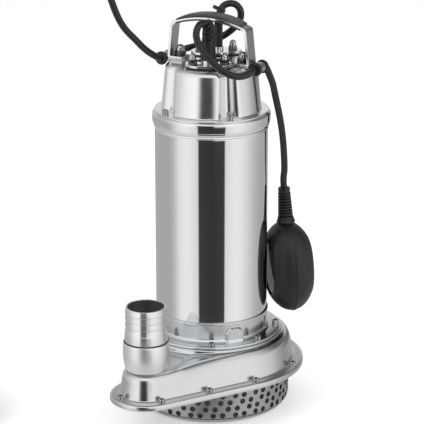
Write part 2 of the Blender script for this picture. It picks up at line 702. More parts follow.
@dataclass(frozen=True)
class CapNut:
    """Closed cap nut: a flange, a hexagon with turned-off corners and a domed cap."""

    size: float = 6.0
    flats: float = 10.0
    height: float = 12.0
    points: int = 36

    def model(self) -> Object:
        """One nut at the origin."""
        size, collar, dome = self.size, self.flats * 0.56, 0.41 * self.flats
        shoulder = self.height - dome
        foot = (
            (0.3 * size, 0.0), (collar - 0.1, 0.0), (collar, 0.2), (collar, 0.13 * size),
            (collar - 0.3, 0.16 * size),
        )
        sides = ((1.0, 0.18 * size), (1.0, 0.66 * size), (0.96, 0.74 * size))
        cap = [(dome + 0.15, 0.8 * size), (dome, 0.88 * size), (dome, shoulder)]
        for a in (math.radians(90 * k / 8) for k in range(1, 8)):
            cap.append((dome * math.cos(a), shoulder + dome * math.sin(a)))
        rings = [raised(circle(radius, self.points), z) for radius, z in foot]
        rings += [raised(self.trimmed(share), z) for share, z in sides]
        rings += [raised(circle(radius, self.points), z) for radius, z in cap]
        return loft("one_nut", rings, sharp=24)

    def trimmed(self, share: float) -> list[Vector]:
        """Hexagon whose corners are turned off by a circle."""
        limit = self.flats * 0.565
        return [p * min(1.0, limit / p.length) for p in hexagon(self.flats * share, self.points)]

    def is_flat(self, face: bpy.types.MeshPolygon, seats: Sequence[Vector]) -> bool:
        """Whether a face of a group belongs to a nut's hexagon or flange, and not to its cap."""
        centre = face.center / MM
        seat = min(seats, key=lambda spot: (spot.xy - centre.xy).length)
        return centre.z - seat.z < 0.8 * self.size

    def group(self, name: str, node: str, spots: Sequence[Vector], seed: int) -> None:
        """Nuts on their seats, with duller flats."""
        nuts = dress(fasten(name, spots, self.model(), CAP_NUT, seed), CAP_NUT, PUMP, (node,))
        add_finish(nuts, NUT_FLATS, lambda face: self.is_flat(face, spots))


# --- Studio -----------------------------------------------------------------------------------


@dataclass
class Studio:
    """Camera, white floor, soft lamps and the surround that polished metal shows.

    The surround is white at the sides, with a dark gap towards the front where the camera stands.
    Its stops are (angle, brightness), in degrees round the pump from the front towards +X.
    """

    camera_at: Triple = (0.0007, -2.313, 0.98)  # metres
    camera_tilt: float = 72.4
    lens: float = 164.7
    floor_radius: float = 9.0  # metres
    lamp_watts: Triple = (13.0, 8.0, 9.0)
    low_level: float = 0.66  # brightness of the surround far down
    high_level: float = 0.26  # and overhead
    soft_light: float = 0.62

    # Seen by upright walls
    walls: tuple[Pair, ...] = (
        (-180, 0.44), (-96, 0.44), (-85, 0.53), (-76.5, 0.69), (-69, 0.85), (-58, 0.93), (-46, 0.93),
        (-34, 0.83), (-27.2, 0.76), (-26, 0.05), (0, 0.038), (26.6, 0.05), (27.8, 0.78), (34, 0.84),
        (46, 0.93), (58, 0.93), (69, 0.85), (85, 0.68), (103, 0.51), (120, 0.43), (180, 0.44),
    )
    # Seen by walls that lean back a little, as the dome does
    slopes: tuple[Pair, ...] = (
        (-180, 0.62), (-110, 0.6), (-80, 0.85), (-60, 1.12), (-38, 1.25), (-32, 1.1), (-25, 0.12),
        (-21, 0.03), (0, 0.03), (3.5, 0.12), (8, 0.95), (30, 1.15), (60, 1.02), (90, 0.8), (112, 0.45),
        (132, 0.24), (155, 0.2), (172, 0.5), (180, 0.6),
    )
    # Seen by faces that look up
    tops: tuple[Pair, ...] = (
        (-180, 0.82), (-150, 0.62), (-115, 0.5), (-75, 0.9), (-32, 1.05), (-25, 0.12), (-21, 0.045),
        (0, 0.045), (3.5, 0.12), (8, 0.9), (20, 1.05), (65, 0.95), (92, 0.5), (108, 0.18), (140, 0.2),
        (158, 0.8), (180, 0.88),
    )
    # Higher up, where the dark gap has ended
    highs: tuple[Pair, ...] = (
        (-180, 0.36), (-150, 0.4), (-115, 0.5), (-75, 0.9), (-20, 1.1), (20, 1.1), (65, 0.95), (92, 0.5),
        (108, 0.18), (140, 0.2), (158, 0.35), (180, 0.36),
    )

    def build(self) -> None:
        """Makes the camera, the surround, the lamps and the floor."""
        self.camera()
        self.surround()
        self.lamps()
        self.floor()
        bpy.context.scene.view_settings.view_transform = "Standard"

    def camera(self) -> None:
        """Long-lens camera that looks along +Y, a little down."""
        data = bpy.data.cameras.new("Camera")
        data.lens, data.sensor_width = self.lens, 36.0
        camera = bpy.data.objects.new("Camera", data)
        camera.location = self.camera_at
        camera.rotation_euler = (math.radians(self.camera_tilt), 0.0, 0.0)
        bpy.context.scene.collection.objects.link(camera)
        bpy.context.scene.camera = camera

    def ramp(self, tree: Tree, turn: Socket, stops: Sequence[Pair]) -> Socket:
        """Brightness by the angle as a share of a full turn, from (angle, strength) pairs."""
        node = add(tree, "ShaderNodeValToRGB", inputs={0: turn})
        elements = node.color_ramp.elements
        while len(elements) > 1:
            elements.remove(elements[-1])
        for i, (angle, strength) in enumerate(stops):
            spot = clamp(angle / 360 + 0.5)
            stop = elements[0] if i == 0 else elements.new(spot)
            stop.position = spot
            stop.color = (strength, strength, strength * 1.004, 1.0)
        return node.outputs[0]

    def surround(self) -> None:
        """World: white for the camera, the surround for reflections, even soft light otherwise."""
        world = bpy.data.worlds.new("Studio surround")
        bpy.context.scene.world = world
        tree = empty_tree(world)
        ray = add(tree, "ShaderNodeLightPath").outputs
        direction = add(tree, "ShaderNodeTexCoord").outputs["Generated"]
        axes = add(tree, "ShaderNodeSeparateXYZ", {0: direction}).outputs
        angle = maths(tree, "ARCTAN2", axes["X"], maths(tree, "MULTIPLY", axes["Y"], -1.0))
        turn = maths(tree, "MULTIPLY_ADD", angle, 1 / math.tau, 0.5)
        seen = self.ramp(tree, turn, self.walls)
        for span, other in (
            ((-0.24, -0.19), self.slopes), ((0.08, 0.2), self.tops), ((0.29, 0.38), self.highs),
            ((-0.44, -0.52), self.low_level), ((0.8, 0.95), self.high_level),
        ):
            share = ranged(tree, axes["Z"], span, kind="SMOOTHSTEP")
            colour = grey(other) if isinstance(other, float) else self.ramp(tree, turn, other)
            seen = blend(tree, share, seen, colour)
        shiny = maths(tree, "MAXIMUM", ray["Is Glossy Ray"], ray["Is Transmission Ray"])
        lit = blend(tree, shiny, grey(self.soft_light), seen)
        final = blend(tree, ray["Is Camera Ray"], lit, grey(1.0))
        background = add(tree, "ShaderNodeBackground", {"Color": final, "Strength": 1.0})
        add(tree, "ShaderNodeOutputWorld", {"Surface": background.outputs[0]})

    def lamps(self) -> None:
        """Three large soft lamps; the metal shows the surround instead of them."""
        spots = (
            ("Key lamp", (-1.5, -1.6, 1.9), 1.2),
            ("Fill lamp", (1.7, -1.3, 1.4), 1.2),
            ("Top lamp", (0.2, 0.9, 2.3), 1.6),
        )
        aim = Vector((0.0, 0.0, 0.2))
        for (name, at, size), watts in zip(spots, self.lamp_watts):
            data = bpy.data.lights.new(name, "AREA")
            data.energy, data.size = watts, size
            lamp = bpy.data.objects.new(name, data)
            lamp.location = at
            lamp.rotation_euler = (aim - Vector(at)).to_track_quat("-Z", "Y").to_euler()
            lamp.visible_glossy = False
            bpy.context.scene.collection.objects.link(lamp)

    def floor(self) -> None:
        """White floor that keeps the pump's shadow and stays out of its reflections."""
        bm = bmesh.new()
        bmesh.ops.create_circle(bm, cap_ends=True, segments=96, radius=self.floor_radius)
        mesh = bpy.data.meshes.new("floor")
        bm.to_mesh(mesh)
        bm.free()
        floor = link("floor", mesh)
        floor.location.z = -0.6 * MM
        material = bpy.data.materials.new("White studio paper")
        tree = empty_tree(material)
        fibre = noise(tree, add(tree, "ShaderNodeTexCoord").outputs["Object"], 400.0)
        tone = blend(tree, fibre, linear("#F4F4F4"), linear("#FAFAFA"))
        paper = add(tree, "ShaderNodeBsdfDiffuse", {"Color": tone}).outputs[0]
        glow = add(tree, "ShaderNodeEmission", {"Strength": 0.34}).outputs[0]
        ray = add(tree, "ShaderNodeLightPath").outputs["Is Camera Ray"]
        lift = add(tree, "ShaderNodeMixShader", {0: ray, 2: glow}).outputs[0]
        both = add(tree, "ShaderNodeAddShader", {0: paper, 1: lift}).outputs[0]
        add(tree, "ShaderNodeOutputMaterial", {"Surface": both})
        mesh.materials.append(material)
        floor.visible_glossy = False


# --- Cables -----------------------------------------------------------------------------------


@dataclass
class Cables:
    """The mains cable with its coil and plug, and the float's cable; their points are the part's own."""

    coil_radius: float = 57.0
    coil_turns: float = 4.0
    coil_layers: int = 6
    coil_gap: float = 0.6
    coil_side: Pair = (-273.5, -70.0)
    coil_z: float = 5.5
    plug_at: Triple = (-404.0, 43.0, 19.0)
    pivot: Triple = (65.5, -14.0, 436.5)
    bent_as_far_as: Triple = (77.5, -5.5, 401.0)
    step: float = 3.5

    def at_eye(self, side: int, along: float, height: float = EYE_Z) -> Triple:
        """Point on the axis of the left (-1) or right (1) cable eye."""
        out, way = polar(side * EYE_AT, HANDLE_TURN), polar(along, HANDLE_TURN + 90)
        return (out.x + way.x, out.y + way.y, height)

    def lead(self) -> list[Vector]:
        """Mains cable from its gland to the coil."""
        before = [
            (8.6, 14.4, 485), (9, 15.5, 492), (11, 17, 499), (15, 18.5, 504.5), (21, 19, 507),
            (28, 19.5, 506.5), (33.5, 20, 502), (36, 20.5, 495.5), (35.5, 22, 488), (32, 24, 480.5),
            (25.5, 27, 473), (16, 31, 465), (5, 35.5, 458), (-7, 39.5, 453), (-19, 43.5, 448.8),
            (-30, 47.5, 445), (-39, 50, 441.8), (-45.5, 49.5, 439.4),
        ]
        through = [self.at_eye(-1, s) for s in (15, 7.5, 0, -7.5, -11.5)]
        after = [
            (-65.5, 14.5, 440.8), (-71, 11, 444.5), (-78, 8.5, 449.8), (-84.5, 6.5, 456),
            (-90.5, 5, 462.8), (-96, 4, 468.8), (-101.5, 3, 474.6), (-107, 1.5, 482), (-111.5, 0.5, 490),
            (-115.5, 0, 499), (-119, 0, 508.5), (-122.5, 0, 519), (-127, 0, 531), (-133.5, 0, 543.5),
            (-143, 0, 555), (-156, 0, 564), (-172, 0, 569.5), (-190, 0, 571), (-208, 0, 568),
            (-226, 0, 561), (-243, 0, 549.5), (-257, 1, 533.5), (-268, 3, 513), (-275.5, 6, 489.5),
            (-281, 11, 464), (-284.5, 17, 438), (-287, 24, 411), (-288.5, 31, 384), (-289.5, 38, 356),
            (-290, 45, 327), (-290, 51.5, 298), (-290, 58, 269), (-290, 64, 240), (-290, 69.5, 211),
            (-290, 74, 182), (-290, 77.5, 153), (-290, 79.5, 125), (-290, 79.5, 100), (-290, 77, 77),
            (-290, 71.5, 56), (-290, 62.5, 37.5), (-290, 50.5, 22.5), (-290, 36.5, 11.5),
            (-290, 22.5, 6.3), (-289.3, 8, 5.5), (-287.3, -7, 5.5), (-284.3, -20, 5.5),
            (-280.6, -33, 5.5), (-276.8, -46, 5.5), (-274.3, -58, 5.5), (*self.coil_side, self.coil_z),
        ]
        return [Vector(p) for p in (*before, *through, *after)]

    def coil_point(self, turn: float) -> Vector:
        """Point of the coil after a number of turns: flat spirals, in and out by turns."""
        pitch = CABLE_D + self.coil_gap
        outside = self.coil_radius + pitch * self.coil_turns / 2
        rest = turn % (2 * self.coil_turns)
        fold = rest if rest < self.coil_turns else 2 * self.coil_turns - rest
        spot = polar(outside - pitch * fold, -360 * turn)
        climbed = sum(clamp((turn - (k * self.coil_turns - 0.25)) / 0.5) for k in range(1, self.coil_layers))
        side_x, side_y = self.coil_side
        return Vector((side_x - outside + spot.x, side_y + spot.y, self.coil_z + pitch * climbed))

    def coil(self) -> list[Vector]:
        """The coil's turns and the short tail to the plug."""
        rings, turns = 36, self.coil_layers * self.coil_turns - 0.5
        wound = [self.coil_point(i / rings) for i in range(1, round(rings * turns) + 1)]
        start, end = wound[-1], Vector(self.plug_at)
        tail = []
        for i in range(1, 25):
            y = mix(start.y, end.y, i / 24)
            across, down = ease(0, 93, y + 50), ease(0, 81, y + 38)
            tail.append(Vector((mix(start.x, end.x, across), y, mix(start.z, end.z, down))))
        return wound + tail

    def loop(self) -> list[Vector]:
        """Float cable from its gland through the right eye."""
        free = [
            (-3.5, -27, 484), (-4, -28, 489), (-6, -31, 493), (-10, -36, 494.5), (-14.5, -41, 493),
            (-17.5, -44.5, 487.5), (-18, -47, 480), (-15, -49.5, 471), (-10, -52, 463.5),
            (-3, -54.5, 455.5), (5, -57, 447.5), (14, -59.5, 440.5), (24, -60, 436), (33.5, -58, 434),
            (42, -53.5, 434.8),
        ]
        held = [self.at_eye(1, -22, 436.8), *(self.at_eye(1, s) for s in (-15, 0, 12.5))]
        return [Vector(p) for p in (*free, *held)]

    def float_point(self, height: float) -> Triple:
        """Point on the float's own axis, a height above its neck."""
        lean, (x, y, z) = math.radians(FLOAT_TILT), NECK
        return (x + height * math.sin(lean), y, z + height * math.cos(lean))

    def drop(self) -> list[Vector]:
        """Float cable from the right eye down into the float's boot."""
        free = [
            self.pivot, (68, -12.5, 431.5), (70.5, -11.5, 425.5), (74.8, -8.5, 413.5), (77.5, -5.5, 401),
            (80.6, -2.5, 386.5), (84, 1, 370), (87, 5, 352), (89.2, 9, 333), (90.6, 12.5, 314),
            (91.2, 16, 297),
        ]
        return [Vector(p) for p in (*free, self.float_point(BOOT_TOP + 12), self.float_point(BOOT_TOP))]

    def mains(self, frame: dict) -> None:
        """One cable of its full length: gland, loop, left eye, coil and plug."""
        path = [p * MM for p in smooth_path(self.lead(), self.step) + self.coil()]
        cable = sweep("mains_cable", path, CABLE_R * MM, 16)
        dress(cable, SHEATH, PUMP, ("mains_cable_lead", "mains_cable_coil"))
        plug = remake(frame, "plug_body", "mains_plug", PLUG_PLASTIC, 0.6)
        pins = remake(frame, "plug_pins", "mains_plug_pins", PLATED_BRASS)
        tie = remake(frame, "coil_tie", "coil_tie_band", NYLON, 0.3)
        keep_out_of_mirrors(cable, plug, pins, tie)

    def float_cable(self) -> None:
        """Float's cable in one piece, which bends behind the right eye as the float swings."""
        route = self.loop()[:-1] + [Vector(self.at_eye(1, 8, 438.0))] + self.drop()
        path = [p * MM for p in smooth_path(route, self.step)]
        cable = sweep("float_cable", path, CABLE_R * MM, 16)
        dress(cable, SHEATH, None, ("float_cable_loop", "float_cable_drop"))
        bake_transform(cable)


# --- Foot, volute and discharge ---------------------------------------------------------------


@dataclass
class Volute:
    """Pressed volute housing: spiral big end, straight front, small round discharge end."""

    big_r: float = 104.0
    left_r: float = 93.0
    small_r: float = 32.0
    port: Vector = Vector(PORT)
    neck_az: float = 195.0
    small_az_end: float = -210.0
    waist_pull: float = 34.0  # reach of the handles of the curve between the two ends
    flange_w: float = 13.0
    flange_z: float = 57.0
    plateau_r: float = 88.5
    hole_r: float = 62.0
    sheet: float = 2.6
    screw_in: float = 6.4
    buffed_from: float = 44.0  # distance from the port beyond which the top is smoother

    @property
    def front_az(self) -> float:
        """Direction in which the straight front faces."""
        port_az = math.degrees(math.atan2(self.port.y, self.port.x))
        return port_az + math.degrees(math.acos((self.big_r - self.small_r) / self.port.length))

    def spiral(self, az: float) -> float:
        """Radius of the big end's wall in a direction."""
        share = clamp((az - 10) / (self.neck_az - 10))
        return self.big_r - (self.big_r - self.left_r) * share**1.3

    def outline(self, grow_by: float) -> list[Vector]:
        """The teardrop outline, moved outwards from the wall's foot; it always has as many points."""
        small = self.small_r + grow_by
        a = self.port + polar(small, self.small_az_end)
        b = polar(self.spiral(self.neck_az) + grow_by, self.neck_az)
        a_out = a + polar(self.waist_pull, self.small_az_end - 90)
        b_out = b - polar(self.waist_pull, self.neck_az - 90)
        points = [self.port + polar(small, az) for az in spread(self.front_az, self.small_az_end, 27)]
        points += [bezier(a, a_out, b_out, b, i / 17) for i in range(1, 17)]
        points += [polar(self.spiral(az) + grow_by, az) for az in spread(self.neck_az, self.front_az, 74)]
        far, near = polar(self.big_r + grow_by, self.front_az), self.port + polar(small, self.front_az)
        return points + spread(far, near, 18)[1:-1]

    def climb(self, p: Vector) -> float:
        """How far a wall point is on its way from the discharge to the shaft, from 0 to 1."""
        return clamp(1 - p.length / self.port.length)

    def shoulder(self, p: Vector) -> float:
        """Share of the wide shoulder at a wall point."""
        return clamp(2.2 * self.climb(p) - 0.1)

    def top(self, p: Vector) -> float:
        """Height of the top at a wall point."""
        return mix(PORT_Z, PLATEAU_Z - 1, clamp(1.9 * self.climb(p)) ** 0.6)

    def foot(self, p: Vector) -> float:
        """Height of the top where it meets the plateau's step."""
        return min(PLATEAU_Z - 0.6, self.top(p) - 0.7 * self.shoulder(p) + 0.05)

    def ring_at(self, grow_by: float, height: float) -> list[Vector]:
        """The outline at a height."""
        return raised(self.outline(grow_by), height)

    def ring_top(self, inset: float, drop: float, share: float, drop_big: float) -> list[Vector]:
        """A ring over the shoulder: a small rounding at the discharge, a wide one at the big end."""
        ring = []
        for p, q in zip(self.outline(0), self.outline(1)):
            t = self.shoulder(p)
            inward = p - (q - p) * mix(inset, share * (p.length - self.plateau_r), t)
            ring.append(Vector((inward.x, inward.y, self.top(p) - mix(drop, drop_big, t))))
        return ring

    def ring_round(self, radius: float, height: float | Callable[[Vector], float]) -> list[Vector]:
        """A round ring about the shaft, its points in the directions of the wall's."""
        ring = []
        for p in self.outline(0):
            spot = p * (radius / p.length)
            ring.append(Vector((spot.x, spot.y, height(p) if callable(height) else height)))
        return ring

    def rings(self) -> list[list[Vector]]:
        """All rings of the shell, from the skirt over the top and back inside."""
        w, z, edge, hole = self.flange_w, self.flange_z, self.plateau_r, self.hole_r
        skirt = (
            (w - 0.4, RIM_Z), (w, RIM_Z + 0.6), (w, z - 2.6), (w - 0.6, z - 0.9), (w - 2.2, z), (w - 5.0, z),
            (2.2, z), (0.8, z + 0.3), (0.2, z + 1.6), (-0.4, z + 6),
        )
        shoulder = (
            (2.3, 11, 0.24, 19), (2.6, 7, 0.28, 14.5), (4, 3, 0.41, 8), (6.4, 0.8, 0.6, 3),
            (8.5, 0.1, 0.7, 1.5), (11, 0, 0.8, 0.7),
        )
        plateau = (
            (edge + 2.2, self.foot), (edge + 0.6, lambda p: self.foot(p) + 0.2),
            (edge + 0.1, lambda p: mix(self.foot(p), PLATEAU_Z, 0.6)), (edge - 0.7, PLATEAU_Z - 0.05),
            (edge - 2.5, PLATEAU_Z), (hole + 0.4, PLATEAU_Z), (hole, PLATEAU_Z - 0.4),
            (hole, PLATEAU_Z - self.sheet), (82, PORT_Z - 3.5),
        )
        inside = (
            (-8, PORT_Z - 6), (-4.5, PORT_Z - 14), (-self.sheet, z - 3), (w - 2.9, z - 3), (w - 2.6, RIM_Z),
        )
        return [
            *(self.ring_at(*ring) for ring in skirt), *(self.ring_top(*ring) for ring in shoulder),
            *(self.ring_round(*ring) for ring in plateau), *(self.ring_at(*ring) for ring in inside),
        ]

    def screw_spots(self) -> list[Vector]:
        """Seats of the flange screws, halfway across the flange."""
        a = self.port + polar(self.small_r + self.screw_in, self.front_az)
        b = polar(self.big_r + self.screw_in, self.front_az)
        spots = [a, mix(a, b, 0.5), b]
        for az, extra in ((-143.6, 0), (-228, 1)):
            spots.append(self.port + polar(self.small_r + self.screw_in + extra, az))
        spots += [polar(self.spiral(az) + self.screw_in, az) for az in (-22, 26, 65, 104, 143, 182)]
        return raised(spots, self.flange_z)

    def build(self) -> None:
        """Makes the housing and its screws."""
        shell = loft("volute_shell", self.rings(), wrap=True, sharp=60)
        dress(shell, PRESSED, PUMP, ("volute_housing",))
        top, port, end = (PORT_Z - 2.5) * MM, self.port * MM, self.buffed_from * MM
        add_finish(shell, BUFFED, lambda face: face.center.z > top and (face.center.xy - port).length > end)
        skin = shell.modifiers.new("Smooth skin", "SUBSURF")
        skin.levels = skin.render_levels = 2
        socket_screws("volute_socket_screws", "volute_screws", self.screw_spots(), 3)


@dataclass
class Foot:
    """Perforated bowl under the volute, whose holes are cut by geometry nodes."""

    radius: float = 98.5
    corner: float = 11.0
    wall: float = 1.5
    hole_d: float = 7.0
    pairs: int = 22
    rows: int = 4
    row_pitch: float = 8.5
    first_row: float = 12.0
    half_gap: float = 3.4
    phase: float = -85.3

    def bowl(self) -> Object:
        """The bowl's shell without its holes."""
        r, c, t = self.radius, self.corner, self.wall
        turns = [math.radians(az) for az in spread(0, 90, 12)]
        outer = [(r - c + c * math.sin(a), c - c * math.cos(a)) for a in turns]
        inner = [(r - c + (c - t) * math.sin(a), c - (c - t) * math.cos(a)) for a in turns]
        rim = [(r, RIM_Z), (r - 13, RIM_Z), (r - 13, RIM_Z - 2), (r - t, RIM_Z - 2)]
        profile = [(2.0, 0.0), *outer, *rim, *reversed(inner), (2.0, t)]
        return revolve("strainer_bowl", profile, segments=192)

    def hole_tree(self) -> Tree:
        """Tree that drills rows of paired holes round the bowl's wall."""
        floats = ("Hole Radius", "Bowl Radius", "Row Pitch", "First Row", "Half Gap", "Phase")
        inputs = {**dict.fromkeys(floats, "Float"), "Pairs": "Int", "Rows": "Int"}
        tree, given = new_tree("Strainer holes", inputs)
        index = add(tree, "GeometryNodeInputIndex").outputs[0]
        per_row = maths(tree, "MULTIPLY", given["Pairs"], 2.0)
        row = maths(tree, "FLOOR", maths(tree, "DIVIDE", index, per_row))
        in_row = maths(tree, "MODULO", index, per_row)
        pair = maths(tree, "FLOOR", maths(tree, "DIVIDE", in_row, 2.0))
        side = maths(tree, "MULTIPLY_ADD", maths(tree, "MODULO", in_row, 2.0), 2.0, -1.0)
        step = maths(tree, "DIVIDE", 360.0, given["Pairs"])
        shifted = maths(tree, "SUBTRACT", pair, maths(tree, "DIVIDE", row, 3.0))
        offset = maths(tree, "MULTIPLY_ADD", side, given["Half Gap"], given["Phase"])
        degrees = maths(tree, "MULTIPLY_ADD", shifted, step, offset)
        turn = maths(tree, "RADIANS", degrees)
        height = maths(tree, "MULTIPLY_ADD", row, given["Row Pitch"], given["First Row"])
        x = maths(tree, "MULTIPLY", maths(tree, "COSINE", turn), given["Bowl Radius"])
        y = maths(tree, "MULTIPLY", maths(tree, "SINE", turn), given["Bowl Radius"])
        total = maths(tree, "MULTIPLY", per_row, given["Rows"])
        places = {"Count": total, "Position": xyz(tree, X=x, Y=y, Z=height)}
        points = add(tree, "GeometryNodePoints", places).outputs[0]
        bit = {"Vertices": 24, "Radius": given["Hole Radius"], "Depth": 24 * MM}
        drill = add(tree, "GeometryNodeMeshCylinder", bit).outputs[0]
        drills = stand(tree, points, drill, Rotation=xyz(tree, Y=math.pi / 2, Z=turn))
        real = add(tree, "GeometryNodeRealizeInstances", {"Geometry": drills}).outputs[0]
        meshes = {0: given["Geometry"], 1: real}
        cut = add(tree, "GeometryNodeMeshBoolean", meshes, operation="DIFFERENCE", solver="EXACT")
        close_tree(tree, cut.outputs[0], SATIN)
        return tree

    def build(self) -> None:
        """Makes the perforated bowl."""
        values = {
            "Hole Radius": self.hole_d / 2 * MM, "Bowl Radius": (self.radius - 2) * MM,
            "Row Pitch": self.row_pitch * MM, "First Row": self.first_row * MM,
            "Half Gap": self.half_gap, "Phase": self.phase, "Pairs": self.pairs, "Rows": self.rows,
        }
        bowl = dress(grow(self.bowl(), self.hole_tree(), values), SATIN, PUMP, ("strainer",))
        skin, low = (self.radius - 0.5) * MM, 0.6 * self.corner * MM
        add_finish(bowl, UNDRESSED, lambda face: face.center.xy.length < skin and face.center.z > low)


@dataclass
class Discharge:
    """Swelling sleeve and the toothed hose tail above it."""

    tail_z0: float = 124.5
    tail_z1: float = 168.5
    tail_r: float = 25.5
    bore: float = 22.5
    teeth: int = 4
    tooth: float = 7.9
    sleeve_r0: float = 25.2
    sleeve_r: float = 28.4

    def sleeve_radius(self, share: float) -> float:
        """Outer radius of the sleeve at a share of its height."""
        swell = math.sin(min(1.0, share / 0.62) * math.pi / 2)
        close = clamp((share - 0.62) / 0.38) ** 2
        return self.sleeve_r0 + (self.sleeve_r - self.sleeve_r0) * swell - 0.7 * close

    def sleeve(self) -> None:
        """Sleeve with a bead at its foot and a rounded top edge."""
        low, high, r = PORT_Z - 0.5, self.tail_z0, self.sleeve_r0
        outer = [(r - 1.2, PORT_Z - 4.5), (r - 1.2, PORT_Z + 0.6), (r - 0.1, PORT_Z + 0.7), (r, PORT_Z + 1.1)]
        for share in spread(0.05, 0.985, 24)[1:]:
            outer.append((self.sleeve_radius(share), mix(low, high, share)))
        edge = self.sleeve_radius(1.0)
        outer += [(edge - 0.25, high - 0.2), (edge - 0.7, high)]
        outer += [(24.0, high), (24.0, high - 6), (22.2, PORT_Z)]
        sleeve = revolve("discharge_sleeve", outer, PORT, 160, sharp=40)
        keep_out_of_mirrors(dress(sleeve, BLASTED, PUMP, ("discharge_coupling",)))
        seam, foot = (high - 0.12) * MM, (PORT_Z + 1.0) * MM
        add_finish(sleeve, UNDRESSED, lambda face: face.center.z > seam or face.center.z < foot)

    def tail(self) -> None:
        """Hose tail: plain lip below, four teeth that each step in at their top."""
        r, z0 = self.tail_r, self.tail_z0
        corners = [(self.bore, z0 - 13.5, 0.0), (23.6, z0 - 13.5, 0.0), (23.6, z0 + 0.9, 0.0)]
        corners += [(r + 0.3, z0 + 0.9, 0.0), (r + 0.8, z0 + 1.4, 0.3), (r + 0.3, z0 + 12.2, 0.3)]
        for i in range(self.teeth - 1, -1, -1):
            top = self.tail_z1 - self.tooth * i
            corners += [(r, top - self.tooth + 0.3, 1.1), (r - 1.3, top - (0.0 if i == 0 else 0.02), 0.3)]
        corners += [(self.bore + 0.3, self.tail_z1, 0.2), (self.bore, self.tail_z1 - 0.6, 0.3)]
        tail = revolve("hose_tail", fillet(corners, 4), PORT, 160, sharp=24)
        keep_out_of_mirrors(dress(tail, TURNED, PUMP, ("hose_barb",)))
        axis, inner, seam = Vector(PORT) * MM, (self.bore + 0.1) * MM, (z0 + 1.0) * MM
        add_finish(tail, WORN_EDGE, lambda face: face.normal.z < -0.15 and face.center.z > seam)

        def is_inside(face: bpy.types.MeshPolygon) -> bool:
            return (face.center.xy - axis).length < inner or face.center.z < seam

        add_finish(tail, UNDRESSED, is_inside)

    def build(self) -> None:
        """Makes the sleeve and the tail."""
        self.sleeve()
        self.tail()


# --- Motor can, collars and dome --------------------------------------------------------------


